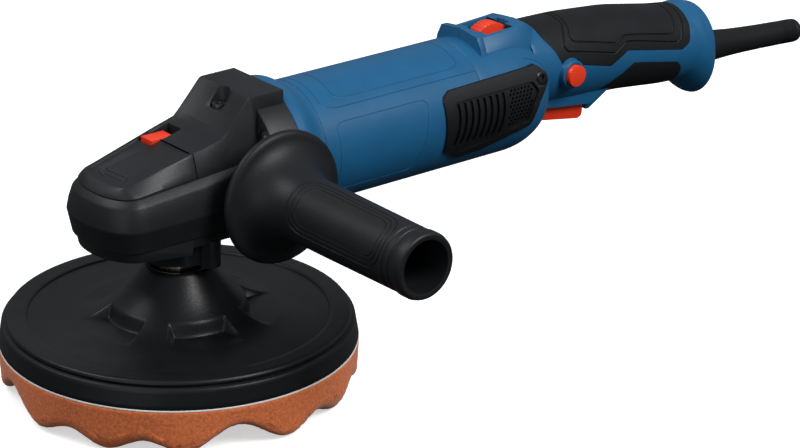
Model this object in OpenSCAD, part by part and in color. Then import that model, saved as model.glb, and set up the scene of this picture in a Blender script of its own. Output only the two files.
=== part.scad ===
// Rotary polisher with a foam pad, a bevel gear head, a barrel motor and a rear grip.
// Millimetres. +Z is the spindle axis, +X runs to the rear grip, -Y to the side handle.
// The origin is on the spindle axis, in the plane of the foam's working face.

/* [Polishing pad] */
// Diameter of the backing pad and of the foam
pad_d = 180; // [170:1:190]
// Thickness of the foam
foam_h = 24.2; // [20:0.1:30]
// Thickness of the hook-and-loop layer
hook_h = 0.8; // [0.5:0.1:1.5]
// Height of the backing pad's rim
rim_h = 13.8; // [12:0.1:18]
// Height of the pad's hub above the hook layer
hub_h = 39; // [36:0.5:42]
// Number of pockets around the hub
pockets = 5; // [3:1:8]

/* [Gear head] */
// Height of the motor axis above the foam's working face
axis_z = 110.6; // [108:0.1:114]
// Half width of the head at its widest
head_w = 29.6; // [29:0.1:31]
// Distance from the spindle to the front of the head
head_front = 55.4; // [54:0.1:58]
// Radius of the round flange at the rear of the head
flange_r = 38.3; // [37:0.1:40]
// Pitch radius of the crown gear at its outer edge
crown_r = 25; // [25:1:25]
// Teeth on the crown gear
crown_teeth = 40; // [40:4:40]
// Teeth on the bevel pinion
pinion_teeth = 10; // [10:1:10]

/* [Motor barrel] */
// Outer radius of the barrel
barrel_r = 33.06; // [32:0.02:34]
// Rear edge of the motor housing
motor_end = 172; // [171:1:173]
// Outer radius of the stator core
stator_r = 30; // [29:0.1:30.2]
// Number of commutator bars
commutator_bars = 24; // [12:2:32]
// Number of blades on the cooling fan
fan_blades = 15; // [9:1:21]

/* [Rear grip] */
// Rear end of the guard
guard_end = 356; // [355:1:358]
// Thickness of the rubber overmould
overmould = 2; // [1.5:0.1:2.2]
// Length of the cord boot behind the guard
boot_len = 78; // [60:1:84]
// Radius of the boot's bore
boot_bore_r = 4.3; // [3.5:0.1:4.8]
// Radius of the speed dial
dial_r = 13.5; // [12:0.5:14]

/* [Side handle] */
// Position of the handle's axis along the head
handle_x = 34.4; // [34:0.1:36]
// Height of the handle's axis
handle_z = 102.9; // [101:0.1:104]
// Radius of the hand flange
handle_flange_r = 34.2; // [30:0.1:36]
// Length from the head's boss to the end of the grip
handle_len = 112.9; // [90:0.1:130]
// Wall radius of the two handle sockets
socket_r = 4.1; // [3.4:0.05:4.2]

/* [Hidden] */
$fn = 64;
pad_r = pad_d / 2;
pad_z = foam_h + hook_h;
rim_z = pad_z + rim_h;
hub_z = pad_z + hub_h;
dish_z = rim_z - 1.2;
neck_r = 17;
flare_r = 60;
cut_r = 33;
boss_y = flange_r + 0.1;
wall = 2.6;
gap = 0.05;
split_x = -4;
roof_front = 112.8;
roof_rise = 5.9;
head_rear = 34;
nose_x = 35.7;
gear_room = 26;
plate_slope = 0.238;
spindle_r = 7.5;
thread_r = 7;
journal_r = 6;
pin_x = -1;
pin_y = 12.4;
pin_r = 1.9;
lock_hole_r = 2.3;
shaft_r = 5;
fan_x = 58;
stator_x = [80, 126];
brush_x = 146;
rear_bearing_x = 160;
dial_x = 200;
dial_z = 135.3;
pivot_x = 227;
pivot_z = 100.5;
lock_on_x = 239.6;
lock_on_z = 117.8;
boot_z = 102.5;
boot_tilt = 4;
cover_screw_x = 26.2;
cone_slope = pinion_teeth / crown_teeth;

// ---- shared shapes ----

// Cylinder along X on the motor axis
module xcyl(x0, x1, r, y = 0, z = axis_z) {
    translate([x0, y, z]) rotate([0, 90, 0]) cylinder(r = r, h = x1 - x0);
}

// Ring along X on the motor axis
module xring(x0, x1, outer, inner) {
    difference() {
        xcyl(x0, x1, outer);
        xcyl(x0 - 1, x1 + 1, inner);
    }
}

// Cylinder along Y
module ycyl(x, z, y0, y1, r) {
    translate([x, y0, z]) rotate([-90, 0, 0]) cylinder(r = r, h = y1 - y0);
}

// Ring along Z on the spindle axis
module zring(z0, z1, outer, inner) {
    translate([0, 0, z0]) difference() {
        cylinder(r = outer, h = z1 - z0);
        translate([0, 0, -1]) cylinder(r = inner, h = z1 - z0 + 2);
    }
}

// Solid between two Y values with a side outline of [x, z] points
module side_prism(outline, y0, y1) {
    translate([0, y1, 0]) rotate([90, 0, 0]) linear_extrude(y1 - y0) polygon(outline);
}

// Thin ellipse across the X axis, for lofts
module disc(x, zc, hz, wy) {
    translate([x, 0, zc]) rotate([0, 90, 0]) scale([hz, wy, 1]) cylinder(r = 1, h = 0.2, $fn = 40);
}

// One level of the head: an outline with an elliptic nose, whose rear end may be higher
module head_level(z, w, front, rise = 0) {
    translate([-nose_x, 0, z]) scale([front - nose_x, w, 1]) cylinder(r = 1, h = 0.2, $fn = 72);
    for (side = [-1, 1]) {
        translate([head_rear - 2, side * (w - 2), z + rise]) cylinder(r = 2, h = 0.2, $fn = 16);
    }
}

// Cap screw pointing down, with its head's top at the origin
module cap_screw(len, r = 2, head_r = 3.8, head_h = 3) {
    difference() {
        translate([0, 0, -head_h]) cylinder(r = head_r, h = head_h);
        translate([0, 0, -1.6]) cylinder(r = 1.7, h = 2, $fn = 6);
    }
    translate([0, 0, -head_h - len]) cylinder(r = r, h = len);
}

// Coil spring standing on the origin, as a swept tube
module coil_spring(radius, wire, turns, height) {
    steps = turns * 16;
    sides = 6;
    points = [for (i = [0:steps], j = [0:sides - 1])
        let (a = 360 * i / 16, b = 360 * j / sides, r = radius + wire * cos(b))
            [r * cos(a), r * sin(a), wire + (height - 2 * wire) * i / steps + wire * sin(b)]];
    walls = [for (i = [0:steps - 1], j = [0:sides - 1])
        let (k = (j + 1) % sides)
            [i * sides + j, i * sides + k, (i + 1) * sides + k, (i + 1) * sides + j]];
    ends = [[for (j = [sides - 1:-1:0]) j], [for (j = [0:sides - 1]) steps * sides + j]];
    polyhedron(points, concat(walls, ends));
}

// Ring of bearing balls around the Z axis
module ball_ring(pitch, ball, count) {
    for (i = [0:count - 1]) {
        rotate(360 * i / count) translate([pitch, 0, 0]) sphere(r = ball, $fn = 24);
    }
}

// ---- polishing pad ----

module foam_pad() {
    edge = 4;
    color([0.77, 0.38, 0.23]) rotate_extrude($fn = 96)
        polygon([[0, 0], [pad_r - edge, 0], [pad_r, edge], [pad_r, foam_h], [0, foam_h]]);
}

module hook_layer() {
    color("white") translate([0, 0, foam_h]) cylinder(r = pad_r, h = hook_h, $fn = 96);
}

// Height of the hub's flare above the dish at radius r
function flare_h(r) = (hub_z - dish_z) * pow((flare_r - r) / (flare_r - neck_r), 2.64);

module backing_pad() {
    flare = [for (r = [flare_r:-4:neck_r + 3]) [r, dish_z + flare_h(r)]];
    lip_z = rim_z - 3.4;
    color([0.12, 0.13, 0.14]) difference() {
        rotate_extrude($fn = 96) polygon(concat(
            [[0, pad_z], [pad_r, pad_z], [pad_r - 2, lip_z], [pad_r - 4.5, lip_z],
             [pad_r - 4.5, lip_z + 1.2], [pad_r - 3.4, rim_z - 2.1], [pad_r - 4.5, rim_z],
             [pad_r - 14, rim_z], [pad_r - 15.5, dish_z]],
            flare,
            [[neck_r, hub_z], [14.5, hub_z], [14.5, 57], [0, 57]]));
        for (i = [0:pockets - 1]) {
            rotate(180 + 360 * i / pockets - 26) translate([0, 0, dish_z + 0.4])
                rotate_extrude(angle = 52) translate([cut_r, 0]) square([flare_r - cut_r, 30]);
        }
        translate([0, 0, 41]) cylinder(r = 10, h = 17);
    }
}

module pad_insert() {
    color("silver") zring(41, 57, 10, thread_r + gap);
}

// ---- spindle ----

module spindle_shaft() {
    color([0.7, 0.7, 0.72]) {
        translate([0, 0, 43]) cylinder(r = thread_r, h = 25);
        translate([0, 0, 68]) cylinder(r = spindle_r, h = 21);
        translate([0, 0, 89]) cylinder(r = journal_r, h = 26.5);
    }
}

module spindle_collar() {
    color([0.62, 0.56, 0.5]) difference() {
        translate([0, 0, 57.5]) cylinder(r = 11, h = 10.5, $fn = 6);
        translate([0, 0, 57]) cylinder(r = thread_r, h = 12);
    }
}

// Height of the crown gear's root cone at radius r
function root_z(r) = axis_z - cone_slope * r - 1.3;

// Trapezoid tooth section: half widths at root, pitch and tip
module tooth_section(root, tip, depth) {
    polygon([[-root, -0.6], [root, -0.6], [tip, depth], [-tip, depth]]);
}

module crown_gear() {
    inner = 17;
    color([0.45, 0.45, 0.47]) difference() {
        union() {
            rotate_extrude($fn = 96) polygon([
                [0, 91], [10, 91], [10, 93], [crown_r + 0.7, 93],
                [crown_r + 0.7, root_z(crown_r + 0.7)], [inner - 0.5, root_z(inner - 0.5)],
                [inner - 0.5, 103], [0, 103]]);
            for (i = [0:crown_teeth - 1]) {
                rotate(360 * (i + 0.5) / crown_teeth) translate([inner, 0, root_z(inner)])
                    rotate([0, atan(cone_slope), 0]) rotate([90, 0, 90])
                        linear_extrude((crown_r - inner) / cos(atan(cone_slope)) + 0.4)
                            tooth_section(0.75, 0.42, 2.3);
            }
        }
        translate([0, 0, 90]) cylinder(r = journal_r, h = 20);
        for (i = [0:11]) {
            rotate(atan2(pin_y, pin_x) + 30 * i)
                translate([norm([pin_x, pin_y]), 0, 98.5]) cylinder(r = lock_hole_r, h = 10);
        }
    }
}

// ---- spindle bearings and flange ----

module lower_bearing_outer() {
    color("silver") zring(75, 85, 17.5, 14.5);
}

module lower_bearing_inner() {
    color("silver") zring(75, 85, 10, spindle_r);
}

module lower_bearing_balls() {
    color([0.85, 0.85, 0.87]) translate([0, 0, 80]) ball_ring(12.25, 2.2, 10);
}

module dust_seal() {
    color([0.08, 0.08, 0.08]) zring(70.5, 73.5, 13, spindle_r + 0.3);
}

module upper_bush() {
    color([0.6, 0.47, 0.25]) zring(107, 115.5, 8, journal_r + gap);
}

module bearing_flange() {
    color([0.14, 0.15, 0.16]) difference() {
        union() {
            translate([0, 0, 82]) intersection() {
                cylinder(r = 33.4, h = 4.8);
                translate([-40, -26, 0]) cube([80, 52, 5]);
            }
            intersection() {
                hull() {
                    head_level(81.6, head_w - 4.2, head_front - 4.2, -8.8);
                    head_level(86.6, head_w - 3.2, head_front - 3.2);
                }
                translate([-60, -30, 70]) cube([51, 60, 20]);
            }
            translate([0, 0, 70]) cylinder(r = 21.5, h = 18.8);
            for (side = [-1, 1]) {
                translate([4, side * 21.4, 68.5]) cylinder(r = 5.5, h = 14);
            }
            translate([0, 0, 84]) cylinder(r = gear_room - 0.1, h = 5);
        }
        translate([0, 0, 69]) cylinder(r = 9.5, h = 10);
        translate([0, 0, 69.5]) cylinder(r = 13, h = 4);
        translate([0, 0, 75]) cylinder(r = 17.5, h = 20);
        flange_screw_places() {
            translate([0, 0, -10]) cylinder(r = 2.2, h = 20);
            translate([0, 0, -20]) cylinder(r = 4, h = 20);
        }
    }
}

// Puts its children at the seats of the four flange screws
module flange_screw_places() {
    for (x = [-20.5, 20.5], y = [-20.5, 20.5]) {
        translate([x, y, 83]) children();
    }
}

module bearing_flange_screws() {
    color("silver") flange_screw_places() translate([0, 0, -3]) rotate([180, 0, 0]) cap_screw(12);
}

// ---- gear head ----

// Outside of the gear housing without its rear flange
module head_body() {
    hull() {
        head_level(86.8, head_w - 2.5, head_front - 2.5);
        head_level(98.6, head_w, head_front);
        head_level(109.8, head_w - 3.1, head_front - 3.1, 4.9);
        head_level(roof_front - 0.2, head_w - 5.9, head_front - 5.9, roof_rise);
    }
}

module gear_housing() {
    color([0.13, 0.14, 0.15]) difference() {
        union() {
            head_body();
            xcyl(33.5, 51, flange_r);
            ycyl(handle_x, handle_z, -boss_y, boss_y, 13);
            translate([0, 0, 106]) cylinder(r = 10.5, h = 7);
            translate([cover_screw_x, 0, 118]) cylinder(r = 5, h = 12);
        }
        translate([0, 0, 80]) difference() {
            union() {
                cylinder(r = gear_room, h = 26.5);
                cylinder(r = 22, h = 31);
            }
            translate([0, 0, 26]) cylinder(r = 10.5, h = 7);
        }
        xcyl(14, 41.5, 8.4);
        xcyl(41, 60, 14);
        xcyl(49, 52, 26);
        translate([0, 0, 105]) cylinder(r = 8, h = 11);
        translate([pin_x, pin_y, 100]) cylinder(r = 2.1, h = 30);
        translate([pin_x, pin_y, 114]) cylinder(r = 3.6, h = 10);
        for (side = [0, 180]) {
            translate([handle_x, 0, handle_z]) rotate(side)
                ycyl(0, 0, boss_y - 12, boss_y + 1, socket_r);
        }
        flange_screw_places() cylinder(r = 2, h = 13);
        barrel_screw_places() {
            xcyl(-7, 30, 2, 0, 0);
            xcyl(-7, 3, 4, 0, 0);
        }
        translate([cover_screw_x, 0, 119.5]) cylinder(r = 1.7, h = 22);
    }
}

// Puts its children at the four screws between the head and the motor housing
module barrel_screw_places() {
    for (y = [-27.6, 27.6], z = [-19.1, 19.1]) {
        translate([34, y, axis_z + z]) children();
    }
}

// Puts its children at the cover screw, on the sloping face of the rear cover
module cover_screw_place() {
    translate([cover_screw_x, 0, 143]) children();
}

// Height of the top plate at x
function plate_z(x) = 118.3 + plate_slope * (x + 44.6);

// Closed cover over the gear housing's roof, shrunk on all sides by t
module cover_body(t) {
    front_x = -44.6 + t;
    rear_x = 14;
    hull() {
        head_level(roof_front, head_w - 6.1 - t, head_front - 6.1 - t, roof_rise);
        side_prism([[front_x, plate_z(front_x) - t], [rear_x, plate_z(rear_x) - t],
                    [rear_x, plate_z(rear_x) - t - 1]], t - 17, 17 - t);
        side_prism([[rear_x - 1, plate_z(rear_x) - t - 0.3], [rear_x, plate_z(rear_x) - t],
                    [rear_x, plate_z(rear_x) - t - 1]], t - 21, 21 - t);
    }
}

// Sloping box behind the top plate, shrunk by t
module slope_box(t) {
    side_prism([[14 + t, plate_z(14) - 8], [14 + t, plate_z(14) - t], [30 + t, 149.5 - t],
                [50.5, 149.5 - t], [50.5, 120], [24, 120]], t - 20.5, 20.5 - t);
}

module lock_window() {
    translate([-10.5, 7, 110]) cube([19, 11, 30]);
}

module head_front_cap() {
    color([0.15, 0.16, 0.17]) difference() {
        cover_body(0);
        translate([0, 0, -0.2]) cover_body(wall);
        translate([split_x, -50, 100]) cube([100, 100, 60]);
        head_body();
        lock_window();
    }
}

module head_rear_cover() {
    color([0.15, 0.16, 0.17]) difference() {
        union() {
            cover_body(0);
            slope_box(0);
        }
        translate([0, 0, -0.2]) cover_body(wall);
        slope_box(wall);
        translate([split_x - 100, -50, 100]) cube([100, 100, 60]);
        xcyl(33.4, 52, flange_r);
        head_body();
        ycyl(handle_x, handle_z, -boss_y, boss_y, 13);
        lock_window();
        cover_screw_place() {
            translate([0, 0, -4]) cylinder(r = 4, h = 12);
            translate([0, 0, -10]) cylinder(r = 2.1, h = 12);
        }
    }
    color([0.15, 0.16, 0.17]) difference() {
        cover_screw_place() translate([0, 0, -13]) cylinder(r = 5.4, h = 9);
        cover_screw_place() translate([0, 0, -30]) cylinder(r = 2.1, h = 40);
    }
}

module head_cover_screw() {
    color("dimgray") cover_screw_place() translate([0, 0, -1]) cap_screw(19, r = 1.7, head_r = 3.4);
}

// ---- motor ----

module front_bearing_outer() {
    color("silver") xring(41, 49, 14, 11);
}

module front_bearing_inner() {
    color("silver") xring(41, 49, 8, 6);
}

module rear_bearing_outer() {
    color("silver") xring(rear_bearing_x, rear_bearing_x + 7, 11, 9);
}

module rear_bearing_inner() {
    color("silver") xring(rear_bearing_x, rear_bearing_x + 7, 6, 4);
}

module armature_bearing_balls() {
    color([0.85, 0.85, 0.87]) {
        translate([45, 0, axis_z]) rotate([0, 90, 0]) ball_ring(9.5, 1.45, 10);
        translate([rear_bearing_x + 3.5, 0, axis_z]) rotate([0, 90, 0]) ball_ring(7.5, 1.45, 8);
    }
}

module armature_shaft() {
    color([0.7, 0.7, 0.72]) {
        xcyl(17, 27, 2.5);
        xcyl(27, 41, shaft_r);
        xcyl(41, 56, 6);
        xcyl(56, 158, shaft_r);
        xcyl(158, 168, 4);
    }
}

module bevel_pinion() {
    x0 = 17.6;
    x1 = 26;
    tooth_x = x0 + 0.3;
    lean = atan(cone_slope);
    color([0.45, 0.45, 0.47]) difference() {
        union() {
            translate([0, 0, axis_z]) rotate([0, 90, 0]) rotate_extrude()
                polygon([[0, x0], [x0 * cone_slope - 1.3, x0], [x1 * cone_slope - 1.3, x1], [0, x1]]);
            for (i = [0:pinion_teeth - 1]) {
                translate([0, 0, axis_z]) rotate([360 * i / pinion_teeth, 0, 0])
                    translate([tooth_x, 0, 1.3 - tooth_x * cone_slope]) rotate([0, lean, 0])
                        rotate([90, 0, 90]) linear_extrude((x1 - tooth_x) / cos(lean) - 0.5) mirror([0, 1])
                            tooth_section(0.6, 0.28, 2.2);
            }
        }
        xcyl(10, 30, 2.5);
    }
}

module cooling_fan() {
    color([0.85, 0.85, 0.8]) difference() {
        union() {
            xcyl(fan_x, fan_x + 2, 28);
            xcyl(fan_x, fan_x + 11, 9);
            for (i = [0:fan_blades - 1]) {
                translate([fan_x + 1.5, 0, axis_z]) rotate([360 * i / fan_blades, 0, 0])
                    translate([0, -0.7, 12]) rotate([12, 0, 0]) cube([9, 1.4, 15]);
            }
        }
        xcyl(fan_x - 1, fan_x + 13, shaft_r);
    }
}

module air_baffle() {
    color([0.2, 0.2, 0.2]) xring(70.5, 72, 30.2, 23);
}

module stator_core() {
    color([0.5, 0.5, 0.52]) {
        xring(stator_x[0], stator_x[1], stator_r, 25);
        for (side = [0, 180]) {
            translate([stator_x[0], 0, axis_z]) rotate([0, 90, 0]) rotate(side - 50)
                rotate_extrude(angle = 100) translate([18, 0])
                    square([7, stator_x[1] - stator_x[0]]);
        }
    }
}

module field_coils() {
    color([0.72, 0.36, 0.16]) for (side = [90, 270]) {
        translate([stator_x[0] - 6, 0, axis_z]) rotate([0, 90, 0]) rotate(side - 34)
            rotate_extrude(angle = 68) translate([18.6, 0])
                square([5.8, stator_x[1] - stator_x[0] + 12]);
    }
}

module armature_core() {
    slots = 12;
    color([0.42, 0.42, 0.44]) difference() {
        xcyl(stator_x[0] + 1, stator_x[1] - 1, 17.4);
        xcyl(stator_x[0], stator_x[1], shaft_r);
        for (i = [0:slots - 1]) {
            translate([stator_x[0], 0, axis_z]) rotate([360 * i / slots, 0, 0])
                translate([0, -0.9, 14]) cube([stator_x[1] - stator_x[0], 1.8, 6]);
        }
    }
}

module armature_windings() {
    color([0.75, 0.4, 0.18]) {
        xring(stator_x[0] - 6, stator_x[0] + 1, 15, shaft_r);
        xring(stator_x[1] - 1, stator_x[1] + 7, 15, shaft_r);
    }
}

module commutator() {
    color([0.75, 0.42, 0.22]) difference() {
        xcyl(brush_x - 9, brush_x + 8, 11.5);
        xcyl(brush_x - 10, brush_x + 10, shaft_r);
        for (i = [0:commutator_bars - 1]) {
            translate([brush_x - 6, 0, axis_z]) rotate([360 * i / commutator_bars, 0, 0])
                translate([0, -0.25, 10.6]) cube([20, 0.5, 3]);
        }
    }
}

// Places its children at both brushes, with +Z pointing outwards
module brush_places() {
    for (side = [-90, 90]) {
        translate([brush_x, 0, axis_z]) rotate([side, 0, 0]) children();
    }
}

module brush_holders() {
    color([0.8, 0.65, 0.3]) brush_places() difference() {
        translate([-5.5, -4.5, 14]) cube([11, 9, 16]);
        translate([-4.1, -3.1, 12]) cube([8.2, 6.2, 16.8]);
    }
}

module carbon_brushes() {
    color([0.12, 0.12, 0.12]) brush_places() translate([-4, -3, 11.8]) cube([8, 6, 10]);
}

module brush_springs() {
    color("silver") brush_places() translate([0, 0, 22]) coil_spring(2.2, 0.35, 5, 6.6);
}

// Motor housing: a flared front collar, the barrel and the rear bearing bridge
module motor_housing() {
    waist_x = 68;
    flare_out = flange_r - barrel_r;
    collar = [for (i = [0:6]) let (t = i / 6)
        [barrel_r + flare_out * (1 + cos(180 * t)) / 2, 55 + (waist_x - 55) * t]];
    color([0.06, 0.33, 0.5]) difference() {
        union() {
            translate([0, 0, axis_z]) rotate([0, 90, 0]) rotate_extrude($fn = 96)
                polygon(concat([[30.3, 51], [flange_r, 51]], collar,
                               [[barrel_r, motor_end], [30.3, motor_end]]));
            xring(51, 56, 31, 27);
            xring(157, 161, 30.4, 8);
            xring(157, rear_bearing_x + 8, 13.5, 8);
        }
        xcyl(rear_bearing_x, rear_bearing_x + 10, 11);
        for (a = [45:90:315]) {
            xcyl(155, 163, 6.5, 21.5 * cos(a), axis_z + 21.5 * sin(a));
        }
        barrel_screw_places() xcyl(10, 24, 2, 0, 0);
        grille_window(-1);
        grille_window(1);
    }
}

module motor_housing_screws() {
    color("silver") barrel_screw_places() rotate([0, -90, 0]) cap_screw(20, head_r = 3.7);
}

// ---- vent grilles ----

grille_outline = [[145, 98], [156, 91.3], [173, 92.6], [203, 100], [208, 112], [215, 122],
                  [215, 126], [210, 130.5], [150, 129.2], [145, 126.5]];

module grille_window(side) {
    near = side > 0 ? 12 : -40;
    side_prism(grille_outline, near, near + 28);
}

module vent_grille(side) {
    color([0.12, 0.13, 0.14]) difference() {
        intersection() {
            xring(140, 220, 34.2, 30.6);
            grille_window(side);
        }
        for (i = [0:9]) {
            translate([153 + 5 * i, side * 33, 111.5 + 0.2 * i]) rotate([0, 14, 0])
                cube([1.8, 12, 26 - 0.6 * i], center = true);
        }
        ycyl(210.5, 124.5, -50, 50, 1.7);
        for (y = [-40, 29.4]) {
            ycyl(210.5, 124.5, y, y + 10.6, 3.1);
        }
    }
}

module grille_screws() {
    color([0.2, 0.2, 0.2]) for (side = [-1, 1]) {
        translate([210.5, side * 32.5, 124.5]) rotate([-90 * side, 0, 0])
            cap_screw(5, r = 1.6, head_r = 3);
    }
}

// ---- rear housing, grips and guard ----

// Grip as a loft along X, shrunk by t on all sides
module grip_loft(t) {
    hull() {
        disc(216, 121, 23.5 - t, 22.5 - t);
        disc(250, 119.5, 24.3 - t, 22.5 - t);
        disc(286, 117, 23.6 - t, 21.5 - t);
        disc(320, 111.8, 22.4 - t, 21.5 - t);
        disc(348, 109.5, 21 - t, 21.5 - t);
    }
}

// Rear guard around the end of the grip, shrunk by t
module guard_loft(t) {
    hull() {
        disc(332 + t, 111, 21 - t, 21.2 - t);
        disc(341, 107.2, 26 - t, 22.3 - t);
        disc(347.5, 104, 26.6 - t, 22 - t);
        disc(guard_end - 3 - t, 103, 23 - 2.2 * t, 17.5 - t);
        disc(guard_end - t, 103, 11.5 - 1.3 * t, 10.5 - t);
    }
}

// Round rear end of the barrel, shrunk by t
module barrel_end(t) {
    nose = 12;
    arc = [for (a = [0:10:90])
        [barrel_r - nose + (nose - t) * cos(a), 214 + (nose - t) * sin(a)]];
    translate([0, 0, axis_z]) rotate([0, 90, 0]) rotate_extrude($fn = 96)
        polygon(concat([[0, motor_end], [barrel_r - t, motor_end]], arc, [[0, 226 - t]]));
}

// Hump that holds the speed dial, shrunk by t
module dial_hump(t) {
    side_prism([[180.5 + t, 125], [180.5 + t, 147.6 - t], [187, 146 - t], [209, 146 - t],
                [214 - t, 148.6 - t], [222 - t, 143], [226, 130], [226, 125]], t - 15, 15 - t);
    side_prism([[180.5 + t, 125], [180.5 + t, 139.5], [220 - t, 139.5], [224, 125]],
               t - 18.5, 18.5 - t);
}

// Blue nose below the grip that shields the trigger
module trigger_nose(t) {
    side_prism([[222, 106], [222, 98.6], [262.4, 93.4 + t], [264.5, 93.6 + t], [277 - t, 99.7],
                [280, 106]], t - 14, 14 - t);
    side_prism([[262, 98], [262, 89 + t], [265 - t, 88.8 + t], [280 - t, 97.4], [280, 100]],
               t - 10, 10 - t);
}

// Side regions of the two overmoulds, as [x, z] outlines
upper_region = [[222, 150], [225, 137.4], [237.4, 123], [272, 115.7], [285, 120.9],
                [324.5, 114.4], [330.3, 117.2], [332, 124], [332, 150]];
lower_region = [[276, 60], [276, 96], [289, 113.6], [321.4, 106.7], [324, 99], [326, 86], [326, 60]];

module rear_envelope() {
    barrel_end(0);
    dial_hump(0);
    trigger_nose(0);
    grip_loft(overmould);
    difference() {
        grip_loft(0);
        side_prism(upper_region, -40, 40);
        side_prism(lower_region, -40, 40);
    }
    guard_loft(0);
    ycyl(lock_on_x, lock_on_z, -25.5, -15, 7.6);
}

module rear_cavity() {
    barrel_end(wall);
    intersection() {
        dial_hump(wall);
        translate([180, -13, 120]) cube([40, 26, 40]);
    }
    grip_loft(overmould + wall);
    guard_loft(wall + 1);
    translate([223, -10.2, 80]) cube([39.6, 20.4, 30]);
    difference() {
        trigger_nose(wall);
        translate([262, -20, 80]) cube([20, 40, 18]);
    }
    translate([dial_x - 11, -4.6, 140]) cube([22, 9.2, 12]);
    ycyl(dial_x, dial_z, -10.2, 10.2, dial_r + 1);
    ycyl(pivot_x, pivot_z, -12.6, 12.6, 2.1);
    ycyl(dial_x, dial_z, -12, 12, 2.1);
    ycyl(lock_on_x, lock_on_z, -30, -10, 6);
    boot_place() cylinder(r = 9.3, h = 40, center = true);
    boot_place() cylinder(r = 11.6, h = 4.2);
    grille_window(-1);
    grille_window(1);
}

// Webs in each half that hold the dial's axle and the trigger's trunnions
module half_webs() {
    for (side = [-1, 1]) {
        difference() {
            translate([dial_x - 4, side > 0 ? 5 : -13, 124]) cube([8, 8, 17]);
            ycyl(dial_x, dial_z, -12, 12, 2.1);
        }
        difference() {
            translate([pivot_x - 4, side > 0 ? 10.6 : -14.6, 96]) cube([8, 4, 9]);
            ycyl(pivot_x, pivot_z, -12.6, 12.6, 2.1);
        }
    }
}

// One half shell; side is -1 for the left half and 1 for the right half
module rear_half(side) {
    color([0.06, 0.33, 0.5]) intersection() {
        union() {
            difference() {
                rear_envelope();
                rear_cavity();
            }
            half_webs();
            rear_screw_bosses();
        }
        translate([150, side > 0 ? 0 : -60, 40]) cube([250, 60, 150]);
        difference() {
            translate([150, -60, 40]) cube([250, 120, 150]);
            rear_screw_places() {
                ycyl(0, 0, -14, 30, 1.6);
                ycyl(0, 0, 9, 50, 3.2);
            }
        }
    }
}

// Puts its children at the screws that join the two halves
module rear_screw_places() {
    for (p = [[228.5, 131], [282, 104], [300, 126], [332.7, 100.4]]) {
        translate([p[0], 0, p[1]]) children();
    }
}

module rear_screw_bosses() {
    intersection() {
        rear_screw_places() ycyl(0, 0, -19.5, 19.5, 4.6);
        grip_loft(overmould + 0.5);
    }
}

module rear_housing_screws() {
    color("silver") rear_screw_places() translate([0, 9, 0]) rotate([-90, 0, 0])
        translate([0, 0, 3]) cap_screw(18, r = 1.5, head_r = 3.1);
}

module upper_grip() {
    color([0.1, 0.11, 0.12]) intersection() {
        difference() {
            grip_loft(0);
            grip_loft(overmould);
            barrel_end(0);
            dial_hump(0);
            guard_loft(0);
            ycyl(lock_on_x, lock_on_z, -25.5, -15, 7.6);
        }
        side_prism(upper_region, -40, 40);
    }
}

module lower_grip() {
    color([0.1, 0.11, 0.12]) intersection() {
        difference() {
            grip_loft(0);
            grip_loft(overmould);
            guard_loft(0);
            trigger_nose(0);
        }
        side_prism(lower_region, -40, 40);
    }
}

// ---- switch, trigger, lock-on and speed control ----

module switch_body() {
    color([0.15, 0.15, 0.15]) difference() {
        translate([241, -9, 107]) cube([30, 18, 19]);
        translate([250, 0, 105]) cylinder(r = 2.6, h = 9);
    }
}

module switch_plunger() {
    color([0.3, 0.3, 0.3]) translate([250, 0, 103.4]) cylinder(r = 2.3, h = 7.4);
}

module trigger() {
    half = 9.4;
    color([0.91, 0.25, 0.11]) {
        difference() {
            side_prism([[224.4, 102.6], [224.4, 90.4], [257.6, 84.6], [260.2, 85.6], [260.9, 88],
                        [260.9, 101.6], [233, 102.6]], -half, half);
            side_prism([[233, 103], [233, 92.4], [258.6, 87.6], [258.6, 103]], -half + 2, half - 2);
        }
        translate([244, -half + 1, 99.6]) cube([12, 2 * half - 2, 3]);
        ycyl(pivot_x, pivot_z, -12, 12, 2);
    }
}

module lock_on_button() {
    color([0.91, 0.25, 0.11]) {
        ycyl(lock_on_x, lock_on_z, -28.2, -20.5, 5.7);
        ycyl(lock_on_x, lock_on_z, -20.5, -14.5, 2.2);
    }
}

// Lock-on spring, drawn at its pressed length
module lock_on_spring() {
    color("silver") translate([lock_on_x, -13.2, lock_on_z]) rotate([90, 0, 0])
        coil_spring(3.4, 0.4, 4, 4);
}

module speed_dial() {
    ridges = 36;
    color([0.91, 0.25, 0.11]) difference() {
        union() {
            ycyl(dial_x, dial_z, -4, 4, dial_r);
            ycyl(dial_x, dial_z, -11.5, 11.5, 2);
        }
        for (i = [0:ridges - 1]) {
            translate([dial_x, 0, dial_z]) rotate([0, 360 * i / ridges, 0])
                translate([0, 0, dial_r]) rotate([0, 45, 0]) cube([0.9, 10, 0.9], center = true);
        }
    }
}

module control_board() {
    color([0.1, 0.4, 0.2]) translate([176, -17, 114]) cube([46, 34, 1.6]);
    color([0.15, 0.15, 0.15]) translate([180, -14, 115.6]) cube([8, 12, 7]);
    color([0.3, 0.3, 0.3]) translate([180, 3, 115.6]) cube([10, 8, 10]);
}

// Puts its children on the boot's axis, with +Z pointing out of the guard
module boot_place() {
    translate([guard_end - 10, 0, boot_z]) rotate([0, 90 + boot_tilt, 0]) children();
}

module cord_boot() {
    color([0.12, 0.13, 0.14]) difference() {
        boot_place() rotate_extrude()
            polygon([[0, 0.8], [11.4, 0.8], [11.4, 4], [9.1, 4], [9.1, 10], [8.8, 14],
                     [7.4, 24], [6.8, 8 + boot_len], [6, 10 + boot_len], [0, 10 + boot_len]]);
        boot_place() translate([0, 0, -2]) cylinder(r = boot_bore_r, h = boot_len + 20);
    }
}

// ---- side handle ----

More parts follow.
